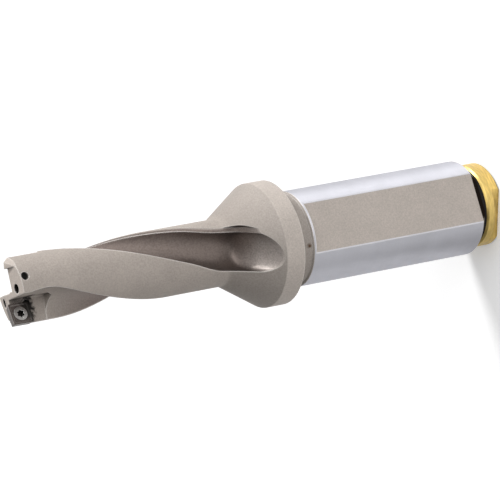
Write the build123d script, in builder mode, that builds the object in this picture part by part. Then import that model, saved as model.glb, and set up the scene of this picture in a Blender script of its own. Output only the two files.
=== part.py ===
from build123d import *
import os
from math import cos, radians, sin, tan

# Indexable insert drill of 18 mm with a 25 mm shank, standing on its rear plug with the tip up.
# Lengths are in millimetres and angles in degrees. Z runs along the drill, towards the tip.
# Angles round the drill start at +X and turn anticlockwise, seen from the tip.
# The shank flat faces -Y. Both flutes turn to the right, and so does the drill when it cuts.

os.makedirs("parts", exist_ok=True)

# Rear plug and its seal
plug_d = 22.0
plug_thick = 5.0
plug_front_chamfer = 0.6
plug_rear_chamfer = 0.4
wrench_across = 17.0
wrench_depth = 2.7
wrench_angle = -122.0
stem_d = 13.0
stem_length = 10.0
stem_chamfer = 0.8
seal_d = 21.0
seal_thick = 1.0
seal_gap = 0.05

# Shank, neck, flange and cone
shank_d = 25.0
shank_length = 54.0
shank_rear_chamfer = 1.3
shank_front_chamfer = 0.3
shank_flat = 10.5
shank_flat_end = 0.9
rear_bore_depth = 16.0
rear_bore_gap = 0.05
neck_d = 24.0
neck_length = 4.7
flange_d = 32.4
flange_thick = 5.4
flange_rear_chamfer = 0.3
flange_front_round = 0.25
cone_length = 11.9
cone_foot_round = 1.8
# the turned body's profile lies at this angle, clear of the flat
profile_angle = -22.5

# Fluted body
body_d = 17.32
body_length = 59.6
straight_length = 6.6
twist_start_length = 5.0
twist_rate = 2.45
slow_twist_rate = 1.2
slow_twist_height = 2.0
run_out_height = -3.7
run_out_slope = 1.7
run_out_blend = 2.4
run_out_reach = 1.0
run_in_length = 7.5
run_in_lift = 2.4

# Flute in front of the central insert
central_flute_angle = 20.2
central_flute_lead = 36.0
central_flute_heel = 44.5
central_flute_floor = 2.8
heel_bevel_depth = 0.69
heel_bevel_angle = 6.8

# Flute in front of the peripheral insert
peripheral_flute_angle = -144.0
peripheral_flute_lead = 39.3
peripheral_flute_heel = 39.2
peripheral_flute_floor = 3.2

# Walls of the flute cutter outside the body, turned from the flute's middle direction
lead_wall_spread = 2.0
heel_wall_spread = 15.0

# Square insert, the same for both seats
cutting_d = 18.0
insert_size = 5.6
insert_thick = 2.38
insert_nose = 0.4
insert_relief = 11.0
insert_overhang = 1.3
breaker_land = 0.45
breaker_depth = 0.18
breaker_slope = 40.0

# Where the inserts sit: direction of the cutting edge from the axis, and its turn in the seat
peripheral_seat_angle = -170.0
peripheral_seat_turn = -1.0
central_seat_angle = -6.5
central_seat_turn = 1.0
central_seat_radius = 2.55

# Pockets and gullets
pocket_gap = 0.1
corner_relief_d = 1.7
gullet_length = 10.9
gullet_drop = 1.1
gullet_floor_turn = 12.0
gullet_end_height = 0.7
gullet_floor_end_slope = 32.0
gullet_wall_end_slope = 50.0
gullet_wall_end_rise = 2.5
gullet_round = 0.5
peripheral_gullet_foot = 1.9
peripheral_gullet_heel = -107.3
central_gullet_foot = -0.6
central_gullet_heel = 87.5

# Clamping screw
screw_d = 2.0
screw_length = 5.2
screw_head_d = 3.5
screw_head_cone = 0.9
screw_head_rim = 0.35
screw_head_sink = 0.1
screw_gap = 0.02
insert_hole_d = 2.5
driver_lobe_d = 0.55
driver_lobe_circle_d = 1.5
driver_core_d = 1.6
driver_depth = 0.9
screw_hole_reach = 12.0

# Front faces of the lands, and the coolant channels
face_slope = 1.5
peripheral_face_step = 0.7
peripheral_face_slope = 15.8
central_wall_step = 0.85
central_wall_slope = 14.5
central_rim_radius = 7.3
central_rim_fall = 42.0
central_rim_slope = 33.0
channel_d = 2.4
channel_radius = 5.0
channel_blend = 4.5
central_channel_angle = -79.8
central_channel_exit = -96.3
peripheral_channel_angle = 116.2
peripheral_channel_exit = 114.2

# Levels along the drill
shank_rear_z = plug_thick + seal_thick
shank_front_z = shank_rear_z + shank_length
flange_rear_z = shank_front_z + neck_length
flange_front_z = flange_rear_z + flange_thick
cone_top_z = flange_front_z + cone_length
face_z = cone_top_z + body_length
helix_top_z = face_z - straight_length
slow_twist_z = cone_top_z + slow_twist_height
run_out_z = cone_top_z + run_out_height
gullet_z = face_z - gullet_length
tip_z = face_z + insert_overhang

# Radii
shank_r = shank_d / 2
neck_r = neck_d / 2
flange_r = flange_d / 2
body_r = body_d / 2
stem_r = stem_d / 2
beyond = flange_d

# The foremost and outermost reach of a turned insert from its own centre
nose_square = insert_size / 2 - insert_nose
seat_turn = radians(abs(peripheral_seat_turn))
insert_reach = nose_square * (cos(seat_turn) + sin(seat_turn)) + insert_nose
peripheral_seat_radius = cutting_d / 2 - insert_reach
seat_z = tip_z - insert_reach


def polar(radius, angle):
    return (radius * cos(radians(angle)), radius * sin(radians(angle)))


def flute_end_z(floor):
    # where the lifted cutter leaves the flange's edge
    return run_out_z - (flange_r - floor) / run_out_slope


lowest_flute_z = flute_end_z(min(central_flute_floor, peripheral_flute_floor))


def twist(z):
    # how far the flutes have turned at this level
    depth = max(0.0, helix_top_z - max(z, slow_twist_z))
    start = min(depth, twist_start_length)
    fast = start**2 / (2 * twist_start_length) + depth - start
    slow = max(0.0, slow_twist_z - max(z, lowest_flute_z))
    return -twist_rate * fast - slow_twist_rate * slow


def lift(z):
    # how far the flute cutter stands out of its full depth at this level
    if z > helix_top_z:
        return run_in_lift * ((z - helix_top_z) / run_in_length) ** 2
    depth = max(0.0, run_out_z + run_out_blend / 2 - z)
    start = min(depth, run_out_blend)
    return run_out_slope * (start**2 / (2 * run_out_blend) + depth - start)


def spread(low, high, count):
    return [low + (high - low) * step / count for step in range(count + 1)]


def flute_plane(z, angle):
    # local x points out of the middle of the flute
    turned = angle + twist(z)
    x, y = polar(lift(z), turned)
    return Plane(origin=(x, y, z), x_dir=(cos(radians(turned)), sin(radians(turned)), 0), z_dir=(0, 0, 1))


def flute_section(plane, lead, heel, floor, bevel_depth, bevel_angle):
    # the hollow is one arc, with an optional bevel on the heel, and walls that run on outwards
    lead_point = polar(body_r, -lead)
    heel_point = polar(body_r, heel)
    arc_end = polar(body_r - bevel_depth, heel - bevel_angle)
    lead_out = Vector(*lead_point) + Vector(*polar(beyond, -lead_wall_spread))
    heel_out = Vector(*heel_point) + Vector(*polar(beyond, heel_wall_spread))
    with BuildSketch(plane) as section:
        with BuildLine():
            ThreePointArc(lead_point, (floor, 0), arc_end)
            if bevel_depth > 0:
                Line(arc_end, heel_point)
            Polyline(heel_point, heel_out, lead_out, lead_point)
        make_face()
    return section.sketch


def flute_levels(floor):
    end_z = flute_end_z(floor) - run_out_reach
    run_out = spread(end_z, slow_twist_z, 14)
    helix = spread(slow_twist_z, helix_top_z - twist_start_length, 6)
    helix_start = spread(helix_top_z - twist_start_length, helix_top_z, 2)
    run_in = spread(helix_top_z, helix_top_z + run_in_length, 2)
    return run_out + helix[1:] + helix_start[1:] + run_in[1:]


def seat_plane(angle, radius, turn):
    # local x runs out along the cutting edge, local y down the drill, local z out of the rake face
    out = polar(1.0, angle)
    level = cos(radians(turn))
    return Plane(
        origin=(radius * out[0], radius * out[1], seat_z),
        x_dir=(level * out[0], level * out[1], -sin(radians(turn))),
        z_dir=(-out[1], out[0], 0),
    )


def face_plane(angle, radius, z):
    # local x points away from the rake face, local y up the drill, local z inwards along the edge
    out = polar(1.0, angle)
    return Plane(
        origin=(radius * out[0], radius * out[1], z),
        x_dir=(out[1], -out[0], 0),
        z_dir=(-out[0], -out[1], 0),
    )


def relief_plane(angle, radius, depth, z, fall, slope):
    # passes through one point, falls towards the rim, and slopes down away from the rake face
    along = Vector(*polar(1.0, angle))
    back = Vector(*polar(1.0, angle - 90))
    through = along * radius + back * depth + Vector(0, 0, z)
    up = along * tan(radians(fall)) + back * tan(radians(slope)) + Vector(0, 0, 1)
    return Plane(origin=through, z_dir=up)


peripheral_seat = seat_plane(peripheral_seat_angle, peripheral_seat_radius, peripheral_seat_turn)
central_seat = seat_plane(central_seat_angle, central_seat_radius, central_seat_turn)


def channel_point(z, angle, exit_angle):
    share = min(1.0, max(0.0, (z - helix_top_z) / channel_blend))
    return polar(channel_radius, angle + twist(z) + share * (exit_angle - angle))


def gullet_section(seat_angle, foot, heel_angle):
    # a wedge between the floor, which deepens towards the rim, and the wall that faces the insert
    along = Vector(*polar(1.0, seat_angle))
    below = Vector(*polar(gullet_drop, seat_angle - 90))
    corner = along * foot + below
    heel = Vector(*polar(body_r, heel_angle))
    floor_end = corner + Vector(*polar(beyond, seat_angle - gullet_floor_turn))
    wall_end = corner + (heel - corner).normalized() * beyond
    with BuildSketch(Plane.XY.offset(shank_front_z)) as section:
        with BuildLine():
            Polyline(corner, floor_end, wall_end, close=True)
        make_face()
        fillet(section.vertices().sort_by_distance(corner)[0], radius=gullet_round)
    return section.sketch


def gullet_profile(seat_angle):
    # a notch along the cutting edge, whose flanks run out into the flute
    floor_rise = (beyond + gullet_end_height) * tan(radians(gullet_floor_end_slope))
    wall_reach = gullet_end_height + gullet_wall_end_rise / tan(radians(gullet_wall_end_slope))
    with BuildSketch(face_plane(seat_angle, 0, gullet_z)) as profile:
        Polygon(
            (-gullet_end_height, 0),
            (beyond, floor_rise),
            (beyond, 2 * beyond),
            (-beyond, 2 * beyond),
            (-beyond, gullet_wall_end_rise),
            (-wall_reach, gullet_wall_end_rise),
            align=None,
        )
    return profile.sketch


central_wall = central_seat_radius + insert_size / 2 + pocket_gap
central_wall_z = face_z + central_wall_step
peripheral_relief = relief_plane(
    peripheral_seat_angle, 0, 0, face_z + peripheral_face_step, 0, peripheral_face_slope
)
central_rim_relief = relief_plane(
    central_seat_angle, central_rim_radius, insert_thick, central_wall_z, central_rim_fall, central_rim_slope
)

# Flute cutters

central_sections = [
    flute_section(
        flute_plane(level, central_flute_angle),
        central_flute_lead,
        central_flute_heel,
        central_flute_floor,
        heel_bevel_depth,
        heel_bevel_angle,
    )
    for level in flute_levels(central_flute_floor)
]
peripheral_sections = [
    flute_section(
        flute_plane(level, peripheral_flute_angle),
        peripheral_flute_lead,
        peripheral_flute_heel,
        peripheral_flute_floor,
        0,
        0,
    )
    for level in flute_levels(peripheral_flute_floor)
]

with BuildPart() as central_flute:
    loft(sections=central_sections)

with BuildPart() as peripheral_flute:
    loft(sections=peripheral_sections)

# Gullet cutters, one for each insert

with BuildPart() as peripheral_gullet:
    extrude(gullet_section(peripheral_seat_angle, peripheral_gullet_foot, peripheral_gullet_heel), amount=tip_z)
    extrude(gullet_profile(peripheral_seat_angle), amount=beyond, both=True, mode=Mode.INTERSECT)

with BuildPart() as central_gullet:
    extrude(gullet_section(central_seat_angle, central_gullet_foot, central_gullet_heel), amount=tip_z)
    extrude(gullet_profile(central_seat_angle), amount=beyond, both=True, mode=Mode.INTERSECT)

# Coolant channels, from the rear bore through the lands to the front faces

channel_levels = [shank_rear_z + rear_bore_depth - 1.0]
channel_levels += spread(lowest_flute_z, slow_twist_z, 2)
channel_levels += spread(slow_twist_z, helix_top_z, 10)[1:]
channel_levels += spread(helix_top_z, helix_top_z + channel_blend, 2)[1:] + [tip_z]

with BuildPart() as channels:
    for angle, exit_angle in (
        (central_channel_angle, central_channel_exit),
        (peripheral_channel_angle, peripheral_channel_exit),
    ):
        for level in channel_levels:
            with BuildSketch(Plane.XY.offset(level)):
                with Locations(channel_point(level, angle, exit_angle)):
                    Circle(channel_d / 2)
        loft(ruled=True)

# Drill body: turned, fluted, then milled at the tip

with BuildPart() as drill_body:
    with BuildSketch(Plane.XZ.rotated((0, 0, profile_angle))):
        with BuildLine():
            Polyline(
                (0, shank_rear_z),
                (shank_r - shank_rear_chamfer, shank_rear_z),
                (shank_r, shank_rear_z + shank_rear_chamfer),
                (shank_r, shank_front_z - shank_front_chamfer),
                (shank_r - shank_front_chamfer, shank_front_z),
                (neck_r, shank_front_z),
                (neck_r, flange_rear_z),
                (flange_r - flange_rear_chamfer, flange_rear_z),
                (flange_r, flange_rear_z + flange_rear_chamfer),
                (flange_r, flange_front_z),
                (body_r, cone_top_z),
                (body_r, central_wall_z),
                (0, central_wall_z),
                close=True,
            )
        make_face()
        fillet(vertices().sort_by_distance((body_r, cone_top_z))[0], radius=cone_foot_round)
        fillet(vertices().sort_by_distance((flange_r, flange_front_z))[0], radius=flange_front_round)
    revolve(axis=Axis.Z)
    # rear bore for the plug's stem
    with BuildSketch(Plane.XY.offset(shank_rear_z)):
        Circle(stem_r + rear_bore_gap)
    extrude(amount=rear_bore_depth, mode=Mode.SUBTRACT)
    # clamping flat
    with BuildSketch(Plane.XY.offset(shank_rear_z)):
        with Locations((0, -shank_flat)):
            Rectangle(shank_d, shank_d, align=(Align.CENTER, Align.MAX))
    extrude(amount=shank_length - shank_flat_end, mode=Mode.SUBTRACT)
    # flutes
    add(central_flute.part, mode=Mode.SUBTRACT)
    add(peripheral_flute.part, mode=Mode.SUBTRACT)
    add(peripheral_gullet.part, mode=Mode.SUBTRACT)
    add(central_gullet.part, mode=Mode.SUBTRACT)
    # relieved front faces
    with BuildSketch(face_plane(central_seat_angle, central_wall, face_z)):
        Polygon(
            (-beyond, 0),
            (0, 0),
            (beyond, -beyond * tan(radians(face_slope))),
            (beyond, beyond),
            (-beyond, beyond),
            align=None,
        )
    extrude(amount=beyond, mode=Mode.SUBTRACT)
    with BuildSketch(face_plane(central_seat_angle, central_wall, face_z)):
        Polygon(
            (-beyond, 0),
            (insert_thick, 0),
            (insert_thick, central_wall_step),
            (beyond, central_wall_step - (beyond - insert_thick) * tan(radians(central_wall_slope))),
            (beyond, beyond),
            (-beyond, beyond),
            align=None,
        )
    extrude(amount=-beyond, mode=Mode.SUBTRACT)
    for relief in (peripheral_relief, central_rim_relief):
        with BuildSketch(relief):
            Rectangle(2 * beyond, 2 * beyond)
        extrude(amount=beyond, mode=Mode.SUBTRACT)
    # pockets with their corner reliefs and screw holes
    pocket_reach = insert_size / 2 + pocket_gap
    for seat, outer in ((peripheral_seat, beyond), (central_seat, pocket_reach)):
        with BuildSketch(seat.offset(-insert_thick)):
            with Locations((-pocket_reach, pocket_reach)):
                Rectangle(outer + pocket_reach, insert_size * 2, align=(Align.MIN, Align.MAX))
                Circle(corner_relief_d / 2)
        extrude(amount=insert_thick + gullet_drop, mode=Mode.SUBTRACT)
        with BuildSketch(seat.offset(-insert_thick)):
            Circle(screw_d / 2 + screw_gap)
        extrude(amount=-screw_hole_reach, mode=Mode.SUBTRACT)
    add(channels.part, mode=Mode.SUBTRACT)
drill_body.part.label = "drill_body"
export_step(drill_body.part, "parts/drill_body.step")

# Square insert: relieved all round, with a chip breaker behind the edge and a countersunk hole


def head_profile(grow):
    # half the section of a countersunk head, grown by the gap for the seat that takes it
    top = -screw_head_sink
    return (
        (0, top + grow),
        (screw_head_d / 2 + grow, top + grow),
        (screw_head_d / 2 + grow, top - screw_head_rim),
        (screw_d / 2 + grow, top - screw_head_rim - screw_head_cone),
        (0, top - screw_head_rim - screw_head_cone),
    )


# local x runs out along the cutting edge and local y out of the rake face
screw_section = Plane(origin=peripheral_seat.origin, x_dir=peripheral_seat.x_dir, z_dir=-peripheral_seat.y_dir)
screw_axis = Axis(peripheral_seat.origin, peripheral_seat.z_dir)

with BuildPart() as peripheral_insert:
    with BuildSketch(peripheral_seat):
        RectangleRounded(insert_size, insert_size, insert_nose)
    extrude(amount=-insert_thick, taper=insert_relief)
    with BuildSketch(peripheral_seat):
        RectangleRounded(insert_size - 2 * breaker_land, insert_size - 2 * breaker_land, insert_nose)
    extrude(amount=-breaker_depth, taper=breaker_slope, mode=Mode.SUBTRACT)
    with BuildSketch(screw_section):
        Polygon(*head_profile(screw_gap), align=None)
    revolve(axis=screw_axis, mode=Mode.SUBTRACT)
    with BuildSketch(peripheral_seat):
        Circle(insert_hole_d / 2)
    extrude(amount=-insert_thick, mode=Mode.SUBTRACT)
peripheral_insert.part.label = "peripheral_insert"
export_step(peripheral_insert.part, "parts/peripheral_insert.step")

# Its screw, with a six-lobed driver recess

with BuildPart() as insert_screw:
    with BuildSketch(screw_section):
        Polygon(*head_profile(0), align=None)
    revolve(axis=screw_axis)
    with BuildSketch(peripheral_seat.offset(-screw_head_sink - screw_head_rim)):
        Circle(screw_d / 2)
    extrude(amount=screw_head_sink + screw_head_rim - screw_length)
    with BuildSketch(peripheral_seat.offset(-screw_head_sink)):
        Circle(driver_core_d / 2)
        with PolarLocations(driver_lobe_circle_d / 2, 6):
            Circle(driver_lobe_d / 2)
    extrude(amount=-driver_depth, mode=Mode.SUBTRACT)
insert_screw.part.label = "insert_screw"
export_step(insert_screw.part, "parts/insert_screw.step")

# Rear plug: a disc with two wrench flats and a threaded stem

with BuildPart() as rear_plug:
    with BuildSketch():
        Circle(plug_d / 2)
    extrude(amount=plug_thick)
    chamfer(rear_plug.edges().group_by(Axis.Z)[0], plug_rear_chamfer)
    chamfer(rear_plug.edges().group_by(Axis.Z)[-1], plug_front_chamfer)
    with BuildSketch():
        with PolarLocations(wrench_across / 2, 2, start_angle=wrench_angle):
            Rectangle(plug_d, 2 * plug_d, align=(Align.MIN, Align.CENTER))
    extrude(amount=wrench_depth, mode=Mode.SUBTRACT)
    with BuildSketch(Plane.XY.offset(plug_thick)):
        Circle(stem_r)
    extrude(amount=stem_length)
    chamfer(rear_plug.edges().group_by(Axis.Z)[-1], stem_chamfer)
rear_plug.part.label = "rear_plug"
export_step(rear_plug.part, "parts/rear_plug.step")

# Rubber ring between the plug and the shank

with BuildPart() as plug_seal:
    with BuildSketch(Plane.XY.offset(plug_thick)):
        Circle(seal_d / 2)
        Circle(stem_r + seal_gap, mode=Mode.SUBTRACT)
    extrude(amount=seal_thick)
plug_seal.part.label = "plug_seal"
export_step(plug_seal.part, "parts/plug_seal.step")
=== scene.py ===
from math import radians

import bpy
import bmesh
from mathutils import Matrix, Vector

# Indexable insert drill, standing on its rear plug with the tip up. Lengths are in metres.

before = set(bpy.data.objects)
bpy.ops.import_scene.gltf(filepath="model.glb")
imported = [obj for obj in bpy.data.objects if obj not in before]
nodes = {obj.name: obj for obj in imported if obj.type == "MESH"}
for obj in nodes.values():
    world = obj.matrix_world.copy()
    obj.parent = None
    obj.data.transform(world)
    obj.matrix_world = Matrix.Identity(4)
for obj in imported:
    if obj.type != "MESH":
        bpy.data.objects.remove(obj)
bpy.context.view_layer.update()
print("frame loaded:", sorted(nodes))


def addNode(tree, kind, sockets=None, **settings):
    node = tree.nodes.new("ShaderNode" + kind)
    for name, value in settings.items():
        setattr(node, name, value)
    for name, value in (sockets or {}).items():
        if isinstance(value, bpy.types.NodeSocket):
            tree.links.new(value, node.inputs[name])
        else:
            node.inputs[name].default_value = value
    return node


def maths(tree, operation, *terms):
    return addNode(tree, "Math", dict(enumerate(terms)), operation=operation).outputs[0]


def vectorMaths(tree, operation, *terms):
    outputs = addNode(tree, "VectorMath", dict(enumerate(terms)), operation=operation).outputs
    return outputs["Value"] if operation in ("LENGTH", "DOT_PRODUCT") else outputs["Vector"]


def ramp(tree, value, low, high, atLow=0.0, atHigh=1.0):
    # atLow up to low, atHigh from high on, and a straight change between them
    sockets = {"Value": value, "From Min": low, "From Max": high, "To Min": atLow, "To Max": atHigh}
    return addNode(tree, "MapRange", sockets).outputs["Result"]


def between(tree, value, low, high):
    above = maths(tree, "GREATER_THAN", value, low)
    return maths(tree, "MULTIPLY", above, maths(tree, "LESS_THAN", value, high))


def mixed(tree, share, outside, inside):
    return ramp(tree, share, 0.0, 1.0, outside, inside)


def blend(tree, share, first, second):
    if isinstance(first, tuple):
        first = (*first, 1.0)
    if isinstance(second, tuple):
        second = (*second, 1.0)
    return addNode(tree, "Mix", {0: share, 6: first, 7: second}, data_type="RGBA").outputs[2]


def scaleColour(tree, colour, factor):
    grey = addNode(tree, "CombineColor", {0: factor, 1: factor, 2: factor}).outputs[0]
    sockets = {0: 1.0, 6: colour, 7: grey}
    return addNode(tree, "Mix", sockets, data_type="RGBA", blend_type="MULTIPLY").outputs[2]


def noise(tree, place, scale, detail, stretch=(1.0, 1.0, 1.0)):
    spread = addNode(tree, "Mapping", {"Vector": place, "Scale": stretch}).outputs[0]
    sockets = {"Vector": spread, "Scale": scale, "Detail": detail}
    return addNode(tree, "TexNoise", sockets).outputs[0]


noiseRange = (0.3, 0.7)  # nearly all of a noise lies between these


def swinging(tree, wave, low, high):
    return ramp(tree, wave, *noiseRange, low, high)


# Stains and painted shadows: full up to the inner distance from their centre, gone past the outer
# one
stainAndShadowBorder = {"scale": 1400, "detail": 3.0, "ragged": 0.25}


def stainAndShadowMask(tree, place, spot):
    offset = vectorMaths(tree, "SUBTRACT", place, spot["centre"])
    away = vectorMaths(tree, "LENGTH", vectorMaths(tree, "MULTIPLY", offset, spot["stretch"]))
    wave = noise(tree, place, stainAndShadowBorder["scale"], stainAndShadowBorder["detail"])
    reach = stainAndShadowBorder["ragged"] * spot["outer"]
    away = maths(tree, "ADD", away, swinging(tree, wave, -reach, reach))
    return ramp(tree, away, spot["inner"], spot["outer"], 1.0, 0.0)


# How every finish takes its grain, its rubbed edges with a painted highlight, and the painted shade
# of its creases and bores. Openness is the share of rays that leave a spot freely: low in a crease
# or a bore, high on an outward edge.
surface = {
    "grainDetail": 4.0,
    "cloudDetail": 2.0,
    "reliefDepth": 0.0001,
    "edgeSamples": 6,
    "edgeStart": 0.985,  # cosine between the rounded and the flat face where wear and painted highlight start
    "edgeFull": 0.88,
    "creaseSamples": 8,
    "creaseStart": 0.3,  # openness from here on
    "outwardStart": 0.35,
    "outwardFull": 0.7,
    "boreStart": 0.2,
    "boreEnd": 0.48,
    "boreShade": 0.02,
}


def startFinish(name, values):
    material = bpy.data.materials.new(name)
    material.use_nodes = True
    tree = material.node_tree
    shader = tree.nodes["Principled BSDF"]
    shader.inputs["Metallic"].default_value = values["metallic"]
    shader.inputs["Specular IOR Level"].default_value = values["specular"]
    place = addNode(tree, "TexCoord").outputs["Object"]
    return material, tree, shader, place


def endFinish(tree, shader, place, colour, rough, values, grainShare=1.0, unshadedBores=0.0,
              wearAndHighlightShare=1.0):
    # grain in colour, gloss and relief
    grain = noise(tree, place, values["grainScale"], surface["grainDetail"], values["grainStretch"])
    swing = maths(tree, "MULTIPLY", swinging(tree, grain, -1.0, 1.0), grainShare)
    tinted = maths(tree, "MULTIPLY_ADD", swing, values["grainColour"], 1.0)
    colour = scaleColour(tree, colour, tinted)
    cloud = noise(tree, place, values["cloudScale"], surface["cloudDetail"])
    half = values["cloudColour"]
    colour = scaleColour(tree, colour, swinging(tree, cloud, 1.0 - half, 1.0 + half))
    rough = maths(tree, "MULTIPLY_ADD", swing, values["grainRough"], rough)

    # rubbed edges with a painted highlight: lighter where the rounded face turns away from the flat
    # one
    bevel = addNode(tree, "Bevel", {"Radius": values["edgeWidth"]}, samples=surface["edgeSamples"])
    rounded = bevel.outputs[0]
    flat = addNode(tree, "NewGeometry").outputs["Normal"]
    cosine = vectorMaths(tree, "DOT_PRODUCT", rounded, flat)
    rubAndHighlight = ramp(tree, cosine, surface["edgeStart"], surface["edgeFull"])
    rubAndHighlight = maths(tree, "MULTIPLY", rubAndHighlight, values["edgeWearAndHighlight"])
    rubAndHighlight = maths(tree, "MULTIPLY", rubAndHighlight, maths(tree, "MAXIMUM", wearAndHighlightShare, 0.0))
    shelter = addNode(tree, "AmbientOcclusion", {"Distance": values["creaseDepth"]},
                      samples=surface["creaseSamples"])
    openness = shelter.outputs["AO"]
    outward = ramp(tree, openness, surface["outwardStart"], surface["outwardFull"])
    colour = blend(tree, maths(tree, "MULTIPLY", rubAndHighlight, outward), colour, values["edgeWearHighlightColour"])

    # painted shade: darker creases, and nearly black bores
    creasePaintedShade = ramp(tree, openness, surface["creaseStart"], values["creaseEnd"],
                  values["creaseShade"], 1.0)
    borePaintedShade = ramp(tree, openness, surface["boreStart"], surface["boreEnd"], surface["boreShade"], 1.0)
    borePaintedShade = maths(tree, "MAXIMUM", borePaintedShade, unshadedBores)
    colour = scaleColour(tree, colour, maths(tree, "MULTIPLY", creasePaintedShade, borePaintedShade))

    sockets = {"Strength": values["relief"], "Distance": surface["reliefDepth"], "Height": swing,
               "Normal": rounded}
    relief = addNode(tree, "Bump", sockets).outputs[0]
    tree.links.new(colour, shader.inputs["Base Color"])
    tree.links.new(rough, shader.inputs["Roughness"])
    tree.links.new(relief, shader.inputs["Normal"])


def makePlain(name, values):
    material, tree, shader, place = startFinish(name, values)
    base = addNode(tree, "RGB")
    base.outputs[0].default_value = (*values["colour"], 1.0)
    endFinish(tree, shader, place, base.outputs[0], values["roughness"], values)
    return material


def dress(nodeName, material):
    slots = nodes[nodeName].data.materials
    slots.clear()
    slots.append(material)


# Satin nickelled steel: the flutes are smoother, with painted shade in them, and the shank is
# ground bright
bodySteel = {
    "colour": (0.485, 0.435, 0.395),
    "landColour": (0.412, 0.365, 0.328),
    "metallic": 0.26,
    "roughness": 0.72,
    "specular": 0.5,
    "edgeTint": (0.75, 0.75, 0.77),  # polished steel dims at glancing angles

    # levels along the drill, from the rear end to the tip
    "wearAndHighlightFrom": 0.0068,  # the rear chamfer, painted black as the shadow in the gap before the plug, has no rubbed rim
    "rearEnd": 0.0072,
    "shankFront": 0.0597,  # the grinding ends here
    "neckEnd": 0.0647,
    "coneFoot": 0.0701,
    "coneTop": 0.0820,

    "rearGapShadow": (0.014, 0.010, 0.008),
    "neckPaintedShade": 0.76,
    "flangePaintedLight": 1.06,
    "conePaintedShade": 0.80,
    "coneStart": 0.0002,  # the cone's painted shade comes in over this length
    "coneEnd": (-0.002, 0.001),  # and goes out between these, from the cone's top
    "frontPaintedLight": 1.2,  # painted light: front faces that look up are lighter
    "frontFrom": 0.1385,
    "frontTurn": (0.6, 0.8),  # how far a face looks up before it counts as front

    # ground shank: the flat lies inside its radius, and grinding lines run round it
    "groundRadius": 0.01235,
    "groundColour": (0.55, 0.55, 0.59),
    "groundMetallic": 0.95,
    "groundRoughness": 0.48,
    "groundGrain": 0.15,
    "groundStretch": 0.8,
    "groundAxis": (0.02, 0.013, 1.0),  # the gloss is stretched along this line
    "lineScale": 5000,
    "lineDetail": 2.0,
    "lineStretch": (0.01, 0.01, 1.0),
    "lineRough": 0.03,

    # flutes: whatever lies this deep inside the outline of the cone and the lands
    "flangeRadius": 0.0162,
    "landRadius": 0.00866,
    "fluteDepth": (0.0001, 0.0004),
    "fluteStart": 0.0005,
    "fluteFade": (0.1180, 0.1320),
    "fluteShadeColour": (0.18, 0.146, 0.130),
    "fluteMetallic": 0.75,
    "fluteRoughness": 0.40,
    "fluteGrain": 1.6,
    "spoonShadeColour": (0.36, 0.32, 0.295),  # lighter painted shade where a flute runs out in the cone
    "spoonEnd": (0.0745, 0.0780),

    "grainScale": 2400,
    "grainStretch": (1.0, 1.0, 1.0),
    "grainColour": 0.13,
    "grainRough": 0.05,
    "cloudScale": 170,
    "cloudColour": 0.035,
    "relief": 0.05,
    "edgeWidth": 0.0005,
    "edgeWearAndHighlight": 0.8,
    "edgeWearHighlightColour": (0.84, 0.80, 0.76),
    "creaseDepth": 0.0025,
    "creaseEnd": 0.75,
    "creaseShade": 0.62,

    # painted shade: holes near the tip are black inside, and so are the two coolant mouths
    "boresFrom": (0.128, 0.131),
    "boreShadowColour": (0.014, 0.011, 0.009),
    "mouths": ((-0.000549, -0.004970), (-0.002050, 0.004561)),
    "mouthRadius": 0.00122,
}

pocketShadow = {  # painted shadow in the corner of the pocket, behind the insert
    "colour": (0.014, 0.011, 0.009),
    "centre": (-0.0046, -0.0003, 0.1366),
    "stretch": (0.35, 0.8, 1.0),
    "inner": 0.0011,
    "outer": 0.0020,
}

neckRust = {
    "colour": (0.10, 0.055, 0.03),
    "centre": (-0.00456, -0.01109, 0.06095),
    "stretch": (1.0, 1.0, 0.8),
    "inner": 0.0002,
    "outer": 0.0008,
}


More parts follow.
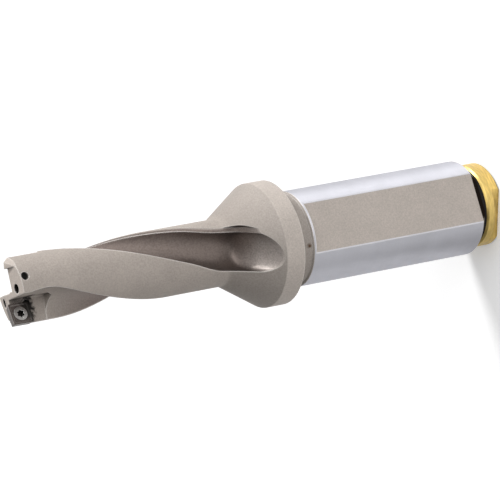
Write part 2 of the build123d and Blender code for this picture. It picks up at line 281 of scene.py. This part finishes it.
def makeBodySteel(values):
    material, tree, shader, place = startFinish("satinSteel", values)
    x, y, z = addNode(tree, "SeparateXYZ", {0: place}).outputs
    square = maths(tree, "ADD", maths(tree, "MULTIPLY", x, x), maths(tree, "MULTIPLY", y, y))
    radius = maths(tree, "SQRT", square)
    foot, top = values["coneFoot"], values["coneTop"]

    # masks of the regions
    outline = ramp(tree, z, foot, top, values["flangeRadius"], values["landRadius"])
    flute = ramp(tree, maths(tree, "SUBTRACT", outline, radius), *values["fluteDepth"])
    reach = maths(tree, "MULTIPLY", ramp(tree, z, foot, foot + values["fluteStart"]),
                  ramp(tree, z, *values["fluteFade"], 1.0, 0.0))
    flute = maths(tree, "MULTIPLY", flute, reach)
    ground = maths(tree, "MULTIPLY", maths(tree, "GREATER_THAN", radius, values["groundRadius"]),
                   maths(tree, "LESS_THAN", z, values["shankFront"]))
    rear = maths(tree, "LESS_THAN", z, values["rearEnd"])
    neck = between(tree, z, values["shankFront"], values["neckEnd"])
    flange = between(tree, z, values["neckEnd"], foot)
    coneStart = ramp(tree, z, foot, foot + values["coneStart"])
    fadeFrom, fadeTo = values["coneEnd"]
    coneEnd = ramp(tree, z, top + fadeFrom, top + fadeTo, 1.0, 0.0)
    cone = maths(tree, "MULTIPLY", coneStart, coneEnd)
    faceNormal = addNode(tree, "NewGeometry").outputs["Normal"]
    upward = addNode(tree, "SeparateXYZ", {0: faceNormal}).outputs["Z"]
    front = maths(tree, "MULTIPLY", ramp(tree, upward, *values["frontTurn"]),
                  maths(tree, "GREATER_THAN", z, values["frontFrom"]))

    # colour
    colour = blend(tree, ramp(tree, z, foot, top), values["colour"], values["landColour"])
    # painted shade in the flutes, lighter where a flute runs out in the cone
    deep = ramp(tree, z, *values["spoonEnd"])
    fluteShadeColour = blend(tree, deep, values["spoonShadeColour"], values["fluteShadeColour"])
    colour = blend(tree, flute, colour, fluteShadeColour)
    # painted shade on the cone, painted light on the flange and on the upward front faces
    for region, shade in ((cone, "conePaintedShade"), (front, "frontPaintedLight"), (flange, "flangePaintedLight")):
        colour = scaleColour(tree, colour, mixed(tree, region, 1.0, values[shade]))
    colour = blend(tree, ground, colour, values["groundColour"])
    # painted shade in the neck, under the flange
    colour = scaleColour(tree, colour, mixed(tree, neck, 1.0, values["neckPaintedShade"]))
    # painted shadow: the rear chamfer is black, as the gap before the plug
    colour = blend(tree, rear, colour, values["rearGapShadow"])
    # painted shadow in the pocket corner
    shadowPatch = stainAndShadowMask(tree, place, pocketShadow)
    colour = blend(tree, shadowPatch, colour, pocketShadow["colour"])
    colour = blend(tree, stainAndShadowMask(tree, place, neckRust), colour, neckRust["colour"])
    boresFrom = values["boresFrom"]
    # painted shade: the coolant mouths are black inside
    for mouthX, mouthY in values["mouths"]:
        sideways = addNode(tree, "CombineXYZ", {"X": maths(tree, "SUBTRACT", x, mouthX),
                                                "Y": maths(tree, "SUBTRACT", y, mouthY)})
        away = vectorMaths(tree, "LENGTH", sideways.outputs[0])
        inside = maths(tree, "MULTIPLY", maths(tree, "LESS_THAN", away, values["mouthRadius"]),
                       maths(tree, "GREATER_THAN", z, boresFrom[0]))
        colour = blend(tree, inside, colour, values["boreShadowColour"])

    # gloss
    rough = mixed(tree, flute, values["roughness"], values["fluteRoughness"])
    sink = mixed(tree, ground, 0.0, values["groundRoughness"] - values["roughness"])
    rough = maths(tree, "ADD", rough, sink)
    lines = noise(tree, place, values["lineScale"], values["lineDetail"], values["lineStretch"])
    lines = swinging(tree, lines, -values["lineRough"], values["lineRough"])
    rough = maths(tree, "ADD", rough, maths(tree, "MULTIPLY", lines, ground))
    metallic = mixed(tree, flute, values["metallic"], values["fluteMetallic"])
    lift = mixed(tree, ground, 0.0, values["groundMetallic"] - values["metallic"])
    metallic = maths(tree, "MAXIMUM", maths(tree, "ADD", metallic, lift), rear)
    tree.links.new(metallic, shader.inputs["Metallic"])
    shader.inputs["Specular Tint"].default_value = (*values["edgeTint"], 1.0)
    stretched = maths(tree, "MULTIPLY", ground, values["groundStretch"])
    tree.links.new(stretched, shader.inputs["Anisotropic"])
    along = addNode(tree, "CombineXYZ", dict(enumerate(values["groundAxis"]))).outputs[0]
    tree.links.new(along, shader.inputs["Tangent"])

    grainShare = maths(tree, "MULTIPLY", mixed(tree, ground, 1.0, values["groundGrain"]),
                       mixed(tree, flute, 1.0, values["fluteGrain"]))
    unshadedBores = ramp(tree, z, *boresFrom, 1.0, 0.0)
    wearAndHighlightShare = maths(tree, "SUBTRACT", maths(tree, "GREATER_THAN", z, values["wearAndHighlightFrom"]), shadowPatch)
    endFinish(tree, shader, place, colour, rough, values, grainShare, unshadedBores, wearAndHighlightShare)
    return material


dress("drill_body", makeBodySteel(bodySteel))

carbide = {
    "colour": (0.085, 0.069, 0.061),
    "metallic": 0.45,
    "roughness": 0.42,
    "specular": 0.5,
    "grainScale": 3000,
    "grainStretch": (1.0, 1.0, 1.0),
    "grainColour": 0.12,
    "grainRough": 0.05,
    "cloudScale": 500,
    "cloudColour": 0.10,
    "relief": 0.08,
    "edgeWidth": 0.00015,
    "edgeWearAndHighlight": 0.8,
    "edgeWearHighlightColour": (0.50, 0.47, 0.45),
    "creaseDepth": 0.0012,
    "creaseEnd": 0.75,
    "creaseShade": 0.3,
}

insertShadow = {  # painted shadow on the rear end of the insert
    "colour": (0.014, 0.011, 0.009),
    "centre": (-0.0040, -0.0010, 0.1373),
    "stretch": (0.45, 0.5, 1.0),
    "inner": 0.0014,
    "outer": 0.0025,
}


def makeCarbide(values):
    material, tree, shader, place = startFinish("carbide", values)
    # painted shadow on the insert's rear end, without rubbed edges
    shadowPatch = stainAndShadowMask(tree, place, insertShadow)
    colour = blend(tree, shadowPatch, values["colour"], insertShadow["colour"])
    unshadowed = maths(tree, "SUBTRACT", 1.0, shadowPatch)
    endFinish(tree, shader, place, colour, values["roughness"], values, wearAndHighlightShare=unshadowed)
    return material


dress("peripheral_insert", makeCarbide(carbide))

screwSteel = {
    "colour": (0.34, 0.325, 0.315),
    "metallic": 0.9,
    "roughness": 0.30,
    "specular": 0.5,
    "axis": (0.1736, -0.9848, 0.0),  # the head looks this way
    "recess": (-0.00016, -0.00030),  # levels along the axis where painted shade darkens the recess
    "recessShadeColour": (0.02, 0.017, 0.016),
    "grainScale": 3000,
    "grainStretch": (1.0, 1.0, 1.0),
    "grainColour": 0.03,
    "grainRough": 0.05,
    "cloudScale": 500,
    "cloudColour": 0.03,
    "relief": 0.02,
    "edgeWidth": 0.00015,
    "edgeWearAndHighlight": 0.8,
    "edgeWearHighlightColour": (0.8, 0.78, 0.76),
    "creaseDepth": 0.0012,
    "creaseEnd": 0.75,
    "creaseShade": 0.3,
}


def makeScrewSteel(values):
    material, tree, shader, place = startFinish("screwSteel", values)
    level = vectorMaths(tree, "DOT_PRODUCT", place, values["axis"])
    # painted shade in the recess
    recess = ramp(tree, level, *values["recess"])
    colour = blend(tree, recess, values["colour"], values["recessShadeColour"])
    endFinish(tree, shader, place, colour, values["roughness"], values)
    return material


dress("insert_screw", makeScrewSteel(screwSteel))

brass = {
    "colour": (0.66, 0.48, 0.155),
    "metallic": 0.8,
    "roughness": 0.42,
    "specular": 0.5,
    "grainScale": 1500,
    "grainStretch": (0.3, 0.3, 1.6),  # turning marks run round the plug
    "grainColour": 0.2,
    "grainRough": 0.07,
    "cloudScale": 260,
    "cloudColour": 0.10,
    "relief": 0.25,
    "edgeWidth": 0.0003,
    "edgeWearAndHighlight": 0.5,
    "edgeWearHighlightColour": (0.86, 0.72, 0.38),
    "creaseDepth": 0.0015,
    "creaseEnd": 0.75,
    "creaseShade": 0.4,
}
dress("rear_plug", makePlain("brass", brass))

blackRubber = {
    "colour": (0.012, 0.011, 0.011),
    "metallic": 0.0,
    "roughness": 0.8,
    "specular": 0.2,
    "grainScale": 3000,
    "grainStretch": (1.0, 1.0, 1.0),
    "grainColour": 0.12,
    "grainRough": 0.05,
    "cloudScale": 500,
    "cloudColour": 0.10,
    "relief": 0.08,
    "edgeWidth": 0.00015,
    "edgeWearAndHighlight": 0.0,
    "edgeWearHighlightColour": (0.50, 0.47, 0.45),
    "creaseDepth": 0.0012,
    "creaseEnd": 0.75,
    "creaseShade": 0.3,
}
dress("plug_seal", makePlain("blackRubber", blackRubber))
print("materials made")

# Camera: it stands beside the upright drill and is rolled, so that the tip points left
camera = {
    "place": (-0.14035796, -0.81258593, 0.54183203),
    "right": (-0.2632896, -0.4488192, -0.8539555),
    "up": (0.9534562, -0.2559146, -0.1594647),
    "lens": 266.705,
    "sensor": 36.0,
    "farthest": 20.0,
}


def makeCamera(values):
    data = bpy.data.cameras.new("camera")
    data.lens = values["lens"]
    data.sensor_width = values["sensor"]
    data.clip_end = values["farthest"]
    right = Vector(values["right"]).normalized()
    up = Vector(values["up"]).normalized()
    turn = Matrix((right, up, right.cross(up))).transposed().to_4x4()
    viewer = bpy.data.objects.new("camera", data)
    viewer.matrix_world = Matrix.Translation(values["place"]) @ turn
    bpy.context.scene.collection.objects.link(viewer)
    bpy.context.scene.camera = viewer


makeCamera(camera)


def seenRays(tree, strength):
    # strength for rays from the camera, from gloss and through glass, and none for other rays
    rays = addNode(tree, "LightPath").outputs
    seen = maths(tree, "MAXIMUM", rays["Is Camera Ray"], rays["Is Glossy Ray"])
    seen = maths(tree, "MAXIMUM", seen, rays["Is Transmission Ray"])
    return maths(tree, "MULTIPLY", seen, strength)


# Pale floor: its glow only lifts what the lamps give to white, so the shadow stays
floorFinish = {"half": 4.0, "colour": (0.92, 0.92, 0.92), "glow": 0.28}


def makeFloor(values):
    mesh = bpy.data.meshes.new("floor")
    shape = bmesh.new()
    bmesh.ops.create_grid(shape, x_segments=1, y_segments=1, size=values["half"])
    shape.to_mesh(mesh)
    shape.free()
    floor = bpy.data.objects.new("floor", mesh)
    bpy.context.scene.collection.objects.link(floor)
    material = bpy.data.materials.new("floorWhite")
    material.use_nodes = True
    tree = material.node_tree
    tree.nodes.clear()
    matte = addNode(tree, "BsdfDiffuse", {"Color": (*values["colour"], 1.0)})
    glow = addNode(tree, "Emission", {"Strength": seenRays(tree, values["glow"])})
    both = addNode(tree, "AddShader", {0: matte.outputs[0], 1: glow.outputs[0]})
    addNode(tree, "OutputMaterial", {"Surface": both.outputs[0]})
    mesh.materials.append(material)


makeFloor(floorFinish)

# Studio: a pale room that darkens towards one side, though the camera sees it white, and two suns
room = {
    "axis": (0.97, 0.0, 0.25),
    "range": (-0.8, 0.2),  # along the axis, from the dark end to the bright one
    "darkEnd": 0.12,
    "brightEnd": 1.0,
    "light": 0.38,
}
keyLight = {"from": (0.82, 0.05, 0.55), "strength": 2.4, "softness": 14.0}
fillLight = {"from": (0.30, -0.82, 0.45), "strength": 1.15, "softness": 60.0}


def makeRoom(values):
    world = bpy.data.worlds.new("room")
    bpy.context.scene.world = world
    world.use_nodes = True
    tree = world.node_tree
    background = tree.nodes["Background"]
    background.inputs["Color"].default_value = (1.0, 1.0, 1.0, 1.0)
    toSky = addNode(tree, "TexCoord").outputs["Generated"]
    along = vectorMaths(tree, "DOT_PRODUCT", toSky, values["axis"])
    pale = ramp(tree, along, *values["range"], values["darkEnd"], values["brightEnd"])
    pale = maths(tree, "MAXIMUM", pale, addNode(tree, "LightPath").outputs["Is Camera Ray"])
    share = maths(tree, "ADD", seenRays(tree, 1.0 - values["light"]), values["light"])
    tree.links.new(maths(tree, "MULTIPLY", pale, share), background.inputs["Strength"])


def makeSun(name, values):
    data = bpy.data.lights.new(name, "SUN")
    data.energy = values["strength"]
    data.angle = radians(values["softness"])
    lamp = bpy.data.objects.new(name, data)
    lamp.rotation_euler = Vector(values["from"]).to_track_quat("Z", "Y").to_euler()
    bpy.context.scene.collection.objects.link(lamp)


makeRoom(room)
makeSun("keyLight", keyLight)
makeSun("fillLight", fillLight)
bpy.context.scene.view_settings.view_transform = "Standard"
print("camera, floor and light made")
